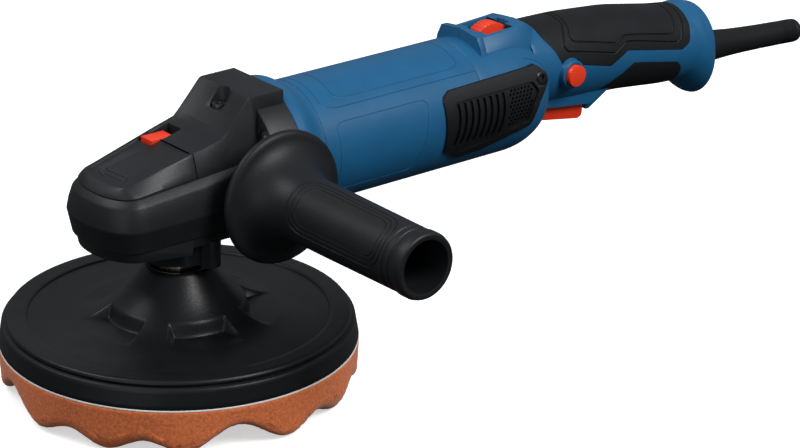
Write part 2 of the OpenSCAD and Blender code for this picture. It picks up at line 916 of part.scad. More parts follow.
module side_handle_grip() {
    root_r = 17.2;
    tip_r = 16.3;
    flare = [for (i = [0:7]) let (a = 90 * i / 7)
        [handle_flange_r - 2 - (handle_flange_r - 2 - root_r) * sin(a), 4 + 24 * (1 - cos(a))]];
    color([0.13, 0.14, 0.15]) translate([handle_x, -boss_y, handle_z]) rotate([90, 0, 0])
        rotate_extrude($fn = 96) polygon(concat(
            [[4.05, 0], [handle_flange_r - 0.8, 0], [handle_flange_r, 1], [handle_flange_r, 2.6]],
            flare,
            [[tip_r, handle_len - 12], [tip_r, handle_len - 1.5], [tip_r - 1, handle_len],
             [13.2, handle_len], [13.2, 40], [4.05, 40]]));
}

module side_handle_stud() {
    color("silver") ycyl(handle_x, handle_z, -boss_y - 30, -boss_y + 11, 4);
}

// ---- spindle lock ----

module spindle_lock_button() {
    top = plate_z(-2.5) - 0.8;
    color([0.91, 0.25, 0.11]) difference() {
        translate([-9, 7.6, top - 3.4]) cube([13, 9.4, 3.4]);
        translate([pin_x, pin_y, top - 5]) cylinder(r = pin_r, h = 3.5);
    }
}

module lock_pin() {
    color("silver") translate([pin_x, pin_y, 104]) cylinder(r = pin_r, h = plate_z(-2.5) - 2.3 - 104);
}

module lock_button_spring() {
    color("silver") translate([pin_x, pin_y, 114.1]) coil_spring(2.9, 0.35, 5, 9.9);
}

gear_housing();
head_front_cap();
head_rear_cover();
head_cover_screw();
bearing_flange();
bearing_flange_screws();
lower_bearing_outer();
dust_seal();
upper_bush();
front_bearing_outer();
motor_housing();
motor_housing_screws();
air_baffle();
stator_core();
field_coils();
brush_holders();
carbon_brushes();
brush_springs();
rear_bearing_outer();
rear_half(-1);  // rear_housing_left
rear_half(1);  // rear_housing_right
rear_housing_screws();
vent_grille(-1);  // vent_grille_left
vent_grille(1);  // vent_grille_right
grille_screws();
upper_grip();
lower_grip();
switch_body();
control_board();
cord_boot();
side_handle_grip();
side_handle_stud();
lock_button_spring();
spindle_shaft();
crown_gear();
spindle_collar();
lower_bearing_inner();
lower_bearing_balls();
backing_pad();
pad_insert();
hook_layer();
foam_pad();
armature_shaft();
bevel_pinion();
front_bearing_inner();
rear_bearing_inner();
armature_bearing_balls();
cooling_fan();
armature_core();
armature_windings();
commutator();
spindle_lock_button();
lock_pin();
trigger();
lock_on_button();
lock_on_spring();
speed_dial();
switch_plunger();
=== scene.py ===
"""Looks of the rotary polisher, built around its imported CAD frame. Lengths in the tables are millimetres."""

import math

import bmesh
import bpy
import numpy as np
from mathutils import Matrix, Vector


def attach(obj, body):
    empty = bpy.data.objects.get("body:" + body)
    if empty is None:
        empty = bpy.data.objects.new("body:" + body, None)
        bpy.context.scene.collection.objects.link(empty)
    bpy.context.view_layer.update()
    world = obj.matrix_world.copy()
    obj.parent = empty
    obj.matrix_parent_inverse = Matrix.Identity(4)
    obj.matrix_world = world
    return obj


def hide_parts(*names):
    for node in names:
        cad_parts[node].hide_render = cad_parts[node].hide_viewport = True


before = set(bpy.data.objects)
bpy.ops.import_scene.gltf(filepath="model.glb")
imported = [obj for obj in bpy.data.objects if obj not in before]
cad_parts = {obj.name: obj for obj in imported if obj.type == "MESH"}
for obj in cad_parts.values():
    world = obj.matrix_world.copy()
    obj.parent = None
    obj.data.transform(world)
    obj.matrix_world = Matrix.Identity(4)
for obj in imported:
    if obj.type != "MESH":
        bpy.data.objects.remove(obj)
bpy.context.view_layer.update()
MM = 0.001
AXIS_Z = 110.6  # height of the motor's axis
HANDLE_X, HANDLE_Z = 34.4, 102.9  # axis of the side handle and its sockets
BOSS_Y = 38.4  # face of the handle socket's boss


# ---- materials ----


def material(name, color, rough=0.5, metal=0.0, spec=0.5, mottle=0.12, mottle_mm=14.0,
             grain_mm=0.5, bump=0.25, rough_var=0.08, coat=0.0, sheen=0.0, edge_wear_and_highlight=0.0):
    """Procedural material: blotchy colour, fine moulded grain, roughness that varies, and lighter edges that are
    partly worn edges and partly a painted highlight.
    """
    mat = bpy.data.materials.new(name)
    mat.use_nodes = True
    nodes, links = mat.node_tree.nodes, mat.node_tree.links
    bsdf = nodes["Principled BSDF"]
    bsdf.inputs["Metallic"].default_value = metal
    bsdf.inputs["Specular IOR Level"].default_value = spec
    bsdf.inputs["Coat Weight"].default_value = coat
    bsdf.inputs["Coat Roughness"].default_value = 0.2
    bsdf.inputs["Sheen Weight"].default_value = sheen
    coords = nodes.new("ShaderNodeTexCoord")

    def noise(size_mm, detail):
        n = nodes.new("ShaderNodeTexNoise")
        n.inputs["Scale"].default_value = 1000.0 / size_mm
        n.inputs["Detail"].default_value = detail
        links.new(coords.outputs["Object"], n.inputs["Vector"])
        return n.outputs["Fac"]

    blotch = noise(mottle_mm, 3.0)
    grain = noise(grain_mm, 2.0)
    ramp = nodes.new("ShaderNodeValToRGB")
    ramp.color_ramp.elements[0].position = 0.3
    ramp.color_ramp.elements[1].position = 0.7
    ramp.color_ramp.elements[0].color = (*[c * (1 - mottle) for c in color], 1)
    ramp.color_ramp.elements[1].color = (*[min(1.0, c * (1 + mottle)) for c in color], 1)
    links.new(blotch, ramp.inputs["Fac"])
    shade = ramp.outputs["Color"]
    # Edges lightened by pointiness: partly wear, partly a painted highlight standing in for light caught on edges and
    # chamfers.
    if edge_wear_and_highlight:
        geometry = nodes.new("ShaderNodeNewGeometry")
        edge = nodes.new("ShaderNodeMapRange")
        edge.inputs["From Min"].default_value = 0.51
        edge.inputs["From Max"].default_value = 0.62
        edge.inputs["To Max"].default_value = edge_wear_and_highlight
        links.new(geometry.outputs["Pointiness"], edge.inputs["Value"])
        mix = nodes.new("ShaderNodeMix")
        mix.data_type = "RGBA"
        mix.inputs["B"].default_value = (*[min(1.0, 0.06 + 2.2 * c) for c in color], 1)
        links.new(edge.outputs["Result"], mix.inputs["Factor"])
        links.new(shade, mix.inputs["A"])
        shade = mix.outputs["Result"]
    links.new(shade, bsdf.inputs["Base Color"])
    spread = nodes.new("ShaderNodeMapRange")
    spread.inputs["To Min"].default_value = max(0.02, rough - rough_var)
    spread.inputs["To Max"].default_value = min(1.0, rough + rough_var)
    links.new(grain, spread.inputs["Value"])
    links.new(spread.outputs["Result"], bsdf.inputs["Roughness"])
    relief = nodes.new("ShaderNodeBump")
    relief.inputs["Strength"].default_value = bump
    relief.inputs["Distance"].default_value = 0.0002
    links.new(grain, relief.inputs["Height"])
    links.new(relief.outputs["Normal"], bsdf.inputs["Normal"])
    return mat


BLUE = material("blue_plastic", (0.010, 0.098, 0.22), 0.4, spec=0.3, mottle=0.05, grain_mm=0.7, bump=0.1)
# The next two blacks get lighter edges: partly wear, partly a painted highlight.
CAST = material("textured_black", (0.0085, 0.0098, 0.0115), 0.44, spec=0.28, grain_mm=0.8, bump=0.3, edge_wear_and_highlight=0.12)
COVER = material("cover_black", (0.0095, 0.011, 0.0128), 0.42, spec=0.3, grain_mm=0.7, bump=0.25, edge_wear_and_highlight=0.15)
GRILLE = material("grille_black", (0.007, 0.0075, 0.0085), 0.46, spec=0.24, grain_mm=0.6, bump=0.2)
GRIP = material("grip_rubber", (0.0085, 0.0095, 0.011), 0.55, spec=0.2, grain_mm=0.9, bump=0.35)
BOOT = material("boot_rubber", (0.008, 0.0085, 0.0095), 0.55, spec=0.2, grain_mm=1.2, bump=0.3)
HANDLE = material("handle_black", (0.009, 0.0102, 0.0118), 0.46, spec=0.24, grain_mm=0.8, bump=0.3)
PAD = material("pad_rubber", (0.006, 0.0065, 0.0075), 0.38, spec=0.26, grain_mm=0.9, bump=0.2, mottle=0.2)
HOOK = material("hook_white", (0.78, 0.78, 0.76), 0.9, grain_mm=0.4, bump=0.8, sheen=0.4)
FOAM = material("foam_orange", (0.66, 0.17, 0.055), 0.95, spec=0.1, mottle=0.22, mottle_mm=1.4,
                grain_mm=0.9, bump=1.0, sheen=0.2)
ORANGE = material("accent_orange", (0.78, 0.045, 0.012), 0.36, spec=0.45, mottle=0.04, bump=0.08)
COLLAR = material("collar_metal", (0.72, 0.65, 0.56), 0.26, metal=1.0, mottle=0.2, mottle_mm=5, bump=0.15)
STEEL = material("steel", (0.55, 0.55, 0.57), 0.3, metal=1.0, mottle=0.1, bump=0.1)
DARK_STEEL = material("dark_steel", (0.10, 0.10, 0.11), 0.4, metal=1.0, mottle=0.15, bump=0.15)
CORE = material("core_steel", (0.30, 0.30, 0.32), 0.45, metal=1.0, mottle=0.15, grain_mm=0.5)
COPPER = material("copper", (0.60, 0.25, 0.11), 0.35, metal=1.0, mottle=0.2, grain_mm=0.6, bump=0.5)
BRASS = material("brass", (0.62, 0.47, 0.18), 0.35, metal=1.0, mottle=0.12)
INNER = material("inner_plastic", (0.04, 0.04, 0.042), 0.55)
CARBON = material("carbon", (0.02, 0.02, 0.02), 0.5, mottle=0.25, bump=0.4)
BOARD = material("board_green", (0.02, 0.15, 0.06), 0.4, mottle=0.2, mottle_mm=3)
FAN = material("fan_plastic", (0.62, 0.62, 0.56), 0.5)

LOOKS = {
    CAST: ["gear_housing", "bearing_flange"],
    COVER: ["head_front_cap", "head_rear_cover"],
    DARK_STEEL: ["head_cover_screw", "grille_screws"],
    STEEL: ["bearing_flange_screws", "motor_housing_screws", "rear_housing_screws",
            "lower_bearing_outer", "lower_bearing_inner", "lower_bearing_balls",
            "front_bearing_outer", "front_bearing_inner", "rear_bearing_outer",
            "rear_bearing_inner", "armature_bearing_balls", "brush_springs",
            "lock_button_spring", "lock_on_spring", "side_handle_stud", "spindle_shaft",
            "pad_insert", "armature_shaft", "lock_pin"],
    CORE: ["stator_core", "armature_core", "crown_gear", "bevel_pinion"],
    BLUE: ["motor_housing", "rear_housing_left", "rear_housing_right"],
    INNER: ["dust_seal", "air_baffle", "switch_body", "switch_plunger"],
    BRASS: ["upper_bush", "brush_holders"],
    COPPER: ["field_coils", "armature_windings", "commutator"],
    CARBON: ["carbon_brushes"],
    GRILLE: ["vent_grille_left", "vent_grille_right"],
    GRIP: ["upper_grip", "lower_grip"],
    BOARD: ["control_board"],
    BOOT: ["cord_boot"],
    HANDLE: ["side_handle_grip"],
    COLLAR: ["spindle_collar"],
    PAD: ["backing_pad"],
    HOOK: ["hook_layer"],
    FOAM: ["foam_pad"],
    FAN: ["cooling_fan"],
    ORANGE: ["spindle_lock_button", "trigger", "lock_on_button", "speed_dial"],
}
for look, names in LOOKS.items():
    for name in names:
        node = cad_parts[name]
        node.data.materials.clear()
        node.data.materials.append(look)


# ---- mesh helpers ----


def piece(name, verts, faces, look, body, replaces=(), sharp=40.0, place=None):
    """A closed mesh piece from millimetre points, with sharp edges where faces meet at over sharp degrees."""
    bm = bmesh.new()
    scale = Matrix.Scale(MM, 4)
    move = scale @ place if place is not None else scale
    points = [bm.verts.new(move @ Vector(v)) for v in verts]
    for f in faces:
        corners = list(dict.fromkeys(f))
        if len(corners) > 2:
            bm.faces.new([points[i] for i in corners])
    bmesh.ops.recalc_face_normals(bm, faces=bm.faces)
    for face in bm.faces:
        face.smooth = True
    for edge in bm.edges:
        edge.smooth = edge.calc_face_angle(0.0) < math.radians(sharp)
    mesh = bpy.data.meshes.new(name)
    bm.to_mesh(mesh)
    bm.free()
    mesh.materials.append(look)
    obj = bpy.data.objects.new(name, mesh)
    bpy.context.scene.collection.objects.link(obj)
    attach(obj, body)
    if replaces:
        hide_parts(*replaces)
    return obj


def lathe(profile, count, shape=None):
    """Points and faces of a profile of (radius, height) turned about Z. Ends on the axis close it; others join up.
    shape(r, h, angle) may move the points."""
    r = np.array([p[0] for p in profile], float)
    h = np.array([p[1] for p in profile], float)
    angle = np.linspace(0, 2 * math.pi, count, endpoint=False)
    rr, aa = np.meshgrid(r, angle, indexing="ij")
    hh = np.repeat(h[:, None], count, 1)
    if shape:
        rr, hh = shape(rr, hh, aa)
    verts = np.stack([rr * np.cos(aa), rr * np.sin(aa), hh], -1).reshape(-1, 3)
    rows = len(profile)
    closed = r[0] > 1e-6 and r[-1] > 1e-6
    index = np.arange(rows * count).reshape(rows, count)
    for row in (0, rows - 1):
        if r[row] < 1e-6:
            index[row, :] = index[row, 0]
    faces = []
    for i in range(rows if closed else rows - 1):
        a, b = index[i], index[(i + 1) % rows]
        for j in range(count):
            k = (j + 1) % count
            faces.append((a[j], a[k], b[k], b[j]))
    keep = sorted({i for f in faces for i in f})
    new = {old: i for i, old in enumerate(keep)}
    return verts[keep], [tuple(new[i] for i in f) for f in faces]


def refine(profile, step):
    """A profile with points added so that no two are further apart than step."""
    out = [profile[0]]
    for a, b in zip(profile, profile[1:]):
        n = max(1, math.ceil(math.dist(a, b) / step))
        out += [tuple(a[k] + (b[k] - a[k]) * i / n for k in (0, 1)) for i in range(1, n + 1)]
    return out


def smoothstep(x):
    """Rises smoothly from 0 to 1 as x does."""
    t = np.clip(x, 0, 1)
    return t * t * (3 - 2 * t)


def geometry_group(name):
    """A new geometry node group that has one input and one output, with those two nodes."""
    group = bpy.data.node_groups.new(name, "GeometryNodeTree")
    for in_out in ("INPUT", "OUTPUT"):
        group.interface.new_socket("Geometry", in_out=in_out, socket_type="NodeSocketGeometry")
    return group, group.nodes.new("NodeGroupInput"), group.nodes.new("NodeGroupOutput")


def weld_group():
    group, start, end = geometry_group("weld")
    merge = group.nodes.new("GeometryNodeMergeByDistance")
    merge.inputs["Distance"].default_value = 1e-6
    group.links.new(start.outputs[0], merge.inputs["Geometry"])
    group.links.new(merge.outputs["Geometry"], end.inputs[0])
    return group


def edge_group(sharp=34.0):
    """Sharp edges where faces meet at over sharp degrees, smooth ones elsewhere."""
    group, start, end = geometry_group("edges")
    turn = group.nodes.new("GeometryNodeInputMeshEdgeAngle")
    over = group.nodes.new("FunctionNodeCompare")
    over.inputs[1].default_value = math.radians(sharp)
    normal = group.nodes.new("GeometryNodeSetMeshNormal")
    normal.mode = "SHARPNESS"
    normal.inputs["Remove Custom"].default_value = True
    group.links.new(start.outputs[0], normal.inputs["Mesh"])
    group.links.new(turn.outputs["Unsigned Angle"], over.inputs[0])
    group.links.new(over.outputs[0], normal.inputs["Edge Sharpness"])
    group.links.new(normal.outputs["Mesh"], end.inputs[0])
    return group


def add_bevel(obj, width, segments, angle):
    change = obj.modifiers.new("bevel", "BEVEL")
    change.width = width * MM
    change.segments = segments
    change.limit_method = "ANGLE"
    change.angle_limit = math.radians(angle)
    change.miter_outer = "MITER_ARC"


def soften(node, weld, edges, width=0.4):
    """Modifiers that round a CAD node's edges and shade its curved faces smooth, without touching its mesh."""
    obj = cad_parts[node]
    obj.modifiers.new("weld", "NODES").node_group = weld
    add_bevel(obj, width, 2, 32.0)
    obj.modifiers.new("edges", "NODES").node_group = edges


# ---- foam and backing pad ----


def foam_face(x, y):
    """Height of the foam's convoluted working face."""
    u = x * math.cos(math.radians(30)) + y * math.sin(math.radians(30))
    v = y * math.cos(math.radians(30)) - x * math.sin(math.radians(30))
    wave = (np.cos(2 * math.pi * u / 40 + 0.39) + np.cos(2 * math.pi * v / 40)) / 2
    return 6.4 - 6.4 * wave


def foam():
    """Foam disc. Heights over 60 in the profile mark its rim and working face, whose real heights shape gives."""
    top = [(0, 24.2)] + [(r, 24.2) for r in (30, 60, 80, 87, 89.3)] + [(89.8, 23.9), (90, 23.4)]
    side = [(90 - 0.8 * i / 9, 22.8 - i * 2) for i in range(10)]
    rim = [(90 - 6 + 5.2 * math.cos(a), 100 + 6 * math.sin(a)) for a in np.linspace(0, -math.pi / 2, 7)]
    under = [(r, 90) for r in list(np.arange(82.5, 1, -1.5))] + [(0, 90)]

    def shape(r, h, a):
        low = foam_face(r * np.cos(a), r * np.sin(a))
        start = foam_face(89 * np.cos(a), 89 * np.sin(a)) + 6
        flank = (h < 23) & (h > 1)
        down = (22.8 - h) / 18
        h = np.where(flank & (h < 60), 22.8 + (start - 22.8) * down, h)
        on_rim = (h > 60) & (h > 93)
        h = np.where(on_rim, start + (h - 100) + (low - start + 6) * smoothstep((100 - h) / 6), h)
        return r, np.where((h > 60) & (h < 93), low, h)

    verts, faces = lathe(top + side + rim + under, 360, shape)
    rng = np.random.default_rng(3)
    verts = verts + rng.normal(0, 0.07, verts.shape) * (verts[:, 2:] < 23.2)
    obj = piece("foam_convoluted", verts, faces, FOAM, "spindle", ["foam_pad"], sharp=60)


foam()


def backing_pad():
    """Rubber pad with a flared hub and five sunk pockets around it."""
    dish, hub, floor = 37.6, 64.0, 38.1

    def flare(r):
        return dish + (hub - dish) * np.clip((60 - r) / 43, 0, 1) ** 2.64

    inside = [(0, 41), (10, 41), (10, 57), (14.2, 57), (14.2, 63.4), (14.8, 64), (16.4, 64), (17, 63.6)]
    slope = [(r, float(flare(r))) for r in np.arange(17.6, 60.0, 0.6)]
    rim = refine([(60, dish), (75.3, dish), (75.6, 38.2), (75.9, 38.4), (85.2, 38.5), (85.7, 38.3),
                  (86.5, 36.9), (86.4, 36.6), (85.6, 36.3), (85.4, 35.9), (85.9, 35.5), (87.9, 35.3),
                  (88.3, 35.0), (89.9, 25.6), (89.7, 25.05)], 2.2)
    below = [(60, 25.02), (0, 25.02)]

    def shape(r, h, a):
        pocket = 2 * math.pi / 5
        off = np.abs((a - math.pi + pocket / 2) % pocket - pocket / 2)
        edge = np.minimum(r - 33.0, (math.radians(26) - off) * r * 0.8)
        sunk = smoothstep(edge / 3.2) * ((r > 17.5) & (r < 61) & (h > 37))
        return r, h - sunk * np.maximum(h - floor, 0)

    verts, faces = lathe(inside + slope + rim + below, 600, shape)
    obj = piece("backing_pad_moulded", verts, faces, PAD, "spindle", ["backing_pad"], sharp=50)


backing_pad()


# ---- booleans ----


def mark_sharp(mesh, sharp):
    """Smooth faces, with sharp edges where faces meet at over sharp degrees."""
    bm = bmesh.new()
    bm.from_mesh(mesh)
    for face in bm.faces:
        face.smooth = True
    for edge in bm.edges:
        edge.smooth = edge.calc_face_angle(0.0) < math.radians(sharp)
    bm.to_mesh(mesh)
    bm.free()


def cutter(verts, faces, place=None):
    """A plain mesh object from millimetre points, for use in a boolean."""
    mesh = bpy.data.meshes.new("cutter")
    points = [(Matrix.Scale(MM, 4) @ (place or Matrix.Identity(4))) @ Vector(v) for v in verts]
    mesh.from_pydata([tuple(p) for p in points], [], [tuple(dict.fromkeys(f)) for f in faces])
    bm = bmesh.new()
    bm.from_mesh(mesh)
    bmesh.ops.recalc_face_normals(bm, faces=bm.faces)
    bm.to_mesh(mesh)
    bm.free()
    obj = bpy.data.objects.new("cutter", mesh)
    bpy.context.scene.collection.objects.link(obj)
    return obj


def carve(obj, steps, sharp=35.0):
    """Applies booleans to obj: steps are (operation, cutter object), and the cutters are removed."""
    for operation, tool in steps:
        change = obj.modifiers.new("carve", "BOOLEAN")
        change.operation = operation
        change.object = tool
        change.solver = "MANIFOLD"
    apply_modifiers(obj, sharp)
    for _, tool in steps:
        bpy.data.objects.remove(tool)


def apply_modifiers(obj, sharp=35.0):
    """Turns obj's modifiers into mesh and keeps its materials."""
    bpy.context.view_layer.update()
    shaped = obj.evaluated_get(bpy.context.evaluated_depsgraph_get())
    mesh = bpy.data.meshes.new_from_object(shaped)
    looks = list(obj.data.materials)
    obj.modifiers.clear()
    obj.data = mesh
    mesh.materials.clear()
    for look in looks:
        mesh.materials.append(look)
    mark_sharp(mesh, sharp)


def bevel(obj, width, segments=2, angle=25.0, sharp=32.0):
    """Rounds the edges that turn by more than angle degrees."""
    add_bevel(obj, width, segments, angle)
    apply_modifiers(obj, sharp)


def box_mesh(x0, x1, y0, y1, z0, z1):
    verts = [(x, y, z) for x in (x0, x1) for y in (y0, y1) for z in (z0, z1)]
    return verts, [(0, 1, 3, 2), (4, 6, 7, 5), (0, 4, 5, 1), (2, 3, 7, 6), (0, 2, 6, 4), (1, 5, 7, 3)]


def rod(r, a, b, count=48):
    """Closed cylinder along local Z from a to b."""
    return lathe([(0, a), (r, a), (r, b), (0, b)], count)


def along_x(x=0.0, y=0.0, z=AXIS_Z):
    """Places local Z along +X, with local X pointing down and local Y along +Y."""
    return Matrix.Translation((x, y, z)) @ Matrix.Rotation(math.radians(90), 4, "Y")


def along_y(x, z, side=1):
    """Places local Z along +Y, or -Y where side is -1."""
    return Matrix.Translation((x, 0, z)) @ Matrix.Rotation(math.radians(-90 * side), 4, "X")


def loft(rings):
    """Closed solid through rings that all have the same number of points."""
    count = len(rings[0])
    verts = [p for ring in rings for p in ring]
    faces = [tuple(range(count)), tuple(range(len(verts) - count, len(verts)))]
    for i in range(len(rings) - 1):
        for j in range(count):
            k = (j + 1) % count
            faces.append((i * count + j, i * count + k, (i + 1) * count + k, (i + 1) * count + j))
    return verts, faces


# ---- gear head ----


def nose(w, front, center=-35.7, power=2.3, count=33):
    """Half of the head's nose in plan, as a rounded curve from the side at -w to the tip."""
    turn = np.linspace(0, math.pi / 2, count)
    return [(center - (front + center) * math.sin(a) ** (2 / power), -w * math.cos(a) ** (2 / power)) for a in turn]


def head_outline(w, front, rear=37.0):
    """Plan outline of the head: straight sides and a rounded nose."""
    half = [(rear + (-35.7 - rear) * i / 10, -w) for i in range(10)] + nose(w, front)
    full = half + [(x, -y) for x, y in reversed(half[:-1])]
    return full + [(rear, w * (1 - i / 4)) for i in range(1, 8)]


def gear_housing():
    """Cast head. Each level is its height, half width, front end and how much of the roof's rise it takes."""
    levels = [(86.8, 25.6, 51.4, 0), (87.0, 26.6, 52.4, 0), (87.6, 27.3, 53.1, 0), (88.4, 27.5, 53.3, 0),
              (98.0, 29.45, 55.25, 0), (98.7, 29.6, 55.4, 0), (99.5, 29.5, 55.3, 0), (104, 28.6, 54.4, 0.3),
              (109.0, 27.0, 52.7, 0.9), (109.8, 26.5, 52.3, 1), (110.3, 26.1, 51.9, 1), (112.4, 24.0, 49.8, 1.2),
              (112.7, 23.6, 49.4, 1.2), (112.6, 22.8, 48.6, 1.2)]
    rings = []
    for z, w, front, lift in levels:
        rings.append([(x, y, z + lift * 0.058 * (x + 52)) for x, y in head_outline(w, front)])
    obj = piece("gear_housing_cast", *loft(rings), CAST, "housing", ["gear_housing"])
    ring = lathe([(15, 33.6), (37.0, 33.6), (38.0, 34.0), (38.3, 34.8), (38.3, 50.5), (37.9, 51), (15, 51)], 144)
    boss = [(0, 10), (13, 10), (13, 37.6), (12.3, 38.3), (0, 38.3)]
    steps = [("UNION", cutter(*ring, along_x(0)))]
    for side in (-1, 1):
        steps.append(("UNION", cutter(*lathe(boss, 64), along_y(HANDLE_X, HANDLE_Z, side))))
        steps.append(("DIFFERENCE", cutter(*rod(4.1, 26.4, 45), along_y(HANDLE_X, HANDLE_Z, side))))
    gear_room = [(0, 80), (26, 80), (26, 106.5), (22, 106.5), (22, 111), (0, 111)]
    steps.append(("DIFFERENCE", cutter(*lathe(gear_room, 96))))
    steps.append(("DIFFERENCE", cutter(*rod(14.2, 12, 60, 64), along_x(0))))
    steps.append(("DIFFERENCE", cutter(*rod(26, 49, 60, 64), along_x(0))))
    steps.append(("DIFFERENCE", cutter(*rod(3.6, 100, 130), Matrix.Translation((-1, 12.4, 0)))))
    recess = [(0, 20), (4, 20), (4, 37), (2, 37), (2, 60), (0, 60)]
    for y in (-27.6, 27.6):
        for z in (-19.1, 19.1):
            steps.append(("DIFFERENCE", cutter(*lathe(recess, 32), along_x(0, y, AXIS_Z + z))))
    carve(obj, steps)


gear_housing()


def cover_ring(x, w_b, z_b, w_s, z_s, w_t, z_t, w_r, z_r, w_p, z_p):
    """Section of a cover at x: half width and height at its base, side, top edge, ridge and panel."""
    half = [(w_b, z_b), (w_s, z_s), (w_t, z_t), (w_r, z_r), (w_p, z_p)]
    ring = [(x, 0, z_b)] + [(x, -y, z) for y, z in half] + [(x, 0, z_p)]
    return ring + [(x, y, z) for y, z in reversed(half)]


def plate_z(x):
    """Height of the head's top plate."""
    return 118.3 + 0.238 * (x + 44.6)


def split_z(x):
    """Height of the line where the covers meet the casting."""
    return 112.8 + 0.07 * (x + 52)


def cover_side(x):
    """Cover section at x where the top is the plain plate."""
    z_b, z, w_b, w_t = split_z(x), plate_z(x), 23.7, 20.0 + 0.052 * (x + 4.6)
    w_s, z_s = w_b - 0.2 * (w_b - w_t), z_b + 0.3 * (z - z_b)
    return cover_ring(x, w_b, z_b, w_s, z_s, w_t, z, w_t - 1.5, z + 0.1, w_t - 2.3, z - 0.7)


def front_cap():
    """Cap over the front of the head, from its split line up to the sunk panel of its top plate."""

    def outline(w, front, center, power, w_rear, lower, upper):
        half = [(-4.3 + (center + 4.3) * i / 8, -w_rear - (w - w_rear) * i / 8) for i in range(8)]
        half += nose(w, front, center, power)
        full = half + [(x, -y) for x, y in reversed(half[:-1])]
        return [(x, y, split_z(x) * (1 - lower) + plate_z(x) * lower + upper) for x, y in full]

    rings = [outline(23.7, 49.4, -35.7, 2.3, 23.7, 0, 0), outline(23.5, 49.5, -35.9, 2.4, 23.5, 0.14, 0),
             outline(21.6, 48.4, -36.6, 2.7, 22.4, 0.42, 0), outline(18.2, 46.0, -38.0, 3.6, 20.4, 0.9, 0),
             outline(17.2, 45.0, -38.6, 4.2, 19.9, 1, 0), outline(16.2, 44.0, -38.4, 4.6, 18.9, 1, 0.15),
             outline(15.2, 42.8, -38.0, 4.8, 17.9, 1, 0.1), outline(14.5, 42.1, -37.6, 4.8, 17.2, 1, -0.7)]
    obj = piece("head_front_cap_moulded", *loft(rings), COVER, "housing", ["head_front_cap"])
    carve(obj, [("DIFFERENCE", cutter(*box_mesh(-10.5, 9, 7, 18, 105, 140)))])
    bevel(obj, 0.35)


front_cap()


def rear_cover():
    """Rear cover: the plain plate, the slope that climbs from it and the flat box behind."""

    def upper(x, w_t, z_t, z_r, w_p, z_p):
        z_b = split_z(x)
        return cover_ring(x, 23.7, z_b, 22.6, z_b + 3, w_t, z_t, 18.2, z_r, w_p, z_p)

    rings = [cover_side(x) for x in (-3.8, 5, 13.2)]
    rings += [upper(15.0, 21.0, 133.6, 132.8, 8.6, 132.4), upper(17.5, 20.9, 136.2, 135.2, 8.0, 133.4),
              upper(22.5, 20.7, 141.7, 140.7, 7.8, 139.0), upper(28.6, 20.5, 148.6, 147.9, 7.6, 146.0),
              upper(30.2, 20.4, 149.5, 149.5, 7.6, 149.0), upper(33.5, 20.4, 149.5, 149.5, 7.6, 149.4)]
    rings += [upper(44, 20.4, 149.5, 149.5, 7.6, 149.45), upper(50.4, 20.4, 149.5, 149.5, 7.6, 149.45)]
    obj = piece("head_rear_cover_moulded", *loft(rings), COVER, "housing", ["head_rear_cover"])
    well = [(0, 139.6), (4.6, 139.6), (5.4, 141.5), (5.8, 156), (0, 156)]
    slot = [(x + 26.2, y, z) for z in (141.2, 156) for x, y in
            [(0, -4.9), (-6.5 - (z - 141) * 0.1, -3.2), (-8.2 - (z - 141) * 0.1, 0),
             (-6.5 - (z - 141) * 0.1, 3.2), (0, 4.9)]]
    slot_faces = [(0, 1, 2, 3, 4), (5, 6, 7, 8, 9)] + [(i, (i + 1) % 5, (i + 1) % 5 + 5, i + 5) for i in range(5)]
    carve(obj, [("DIFFERENCE", cutter(*box_mesh(-10.5, 8.5, 7, 18, 105, 140))),
                ("DIFFERENCE", cutter(*rod(38.35, 33.5, 60, 128), along_x(0))),
                ("DIFFERENCE", cutter(*lathe(well, 40), Matrix.Translation((26.2, 0, 0)))),
                ("DIFFERENCE", cutter(slot, slot_faces))])
    bevel(obj, 0.8)


rear_cover()


# ---- grooves ----


def rounded(points, radius, steps=6):
    """Corners of a closed 2D polygon turned into arcs."""
    out = []
    for i, corner in enumerate(points):
        a, b, c = (np.array(p, float) for p in (points[i - 1], corner, points[(i + 1) % len(points)]))
        u, v = (a - b) / np.linalg.norm(a - b), (c - b) / np.linalg.norm(c - b)
        half = math.acos(np.clip(u @ v, -1, 1)) / 2
        reach = min(radius / math.tan(half), 0.45 * min(np.linalg.norm(a - b), np.linalg.norm(c - b)))
        start, end = b + u * reach, b + v * reach
        for t in np.linspace(0, 1, steps):
            out.append(tuple((1 - t) ** 2 * start + 2 * t * (1 - t) * b + t * t * end))
    return out


def dense(path, step, closed=False):
    """A 2D path with points added so that no two are further apart than step."""
    loop = list(path) + [path[0]] if closed else list(path)
    out = refine(loop, step)
    return out[:-1] if closed else out


def groove_tube(points, normals, radius=0.35, closed=True, sides=8):
    """Round rod along 3D points on a surface, which cuts a groove where it is subtracted."""
    pts, ups = np.array(points, float), np.array(normals, float)
    if closed:
        along = np.roll(pts, -1, 0) - np.roll(pts, 1, 0)
    else:
        along = np.gradient(pts, axis=0)
    along /= np.linalg.norm(along, axis=1)[:, None]
    across = np.cross(along, ups)
    across /= np.linalg.norm(across, axis=1)[:, None]
    up = np.cross(across, along)
    turn = [2 * math.pi * k / sides for k in range(sides)]
    verts = [tuple(p + radius * (math.cos(b) * n + math.sin(b) * m))
             for p, n, m in zip(pts, up, across) for b in turn]
    count = len(pts)
    faces = [] if closed else [tuple(range(sides)), tuple(range((count - 1) * sides, count * sides))]
    for i in range(count if closed else count - 1):
        for k in range(sides):
            a, b = i * sides, (i + 1) % count * sides
            faces.append((a + k, a + (k + 1) % sides, b + (k + 1) % sides, b + k))
    return verts, faces


def prism_y(outline, y0, y1):
    """Closed solid of an [x, z] outline between two y values."""
    return loft([[(x, y, z) for x, z in outline] for y in (y0, y1)])
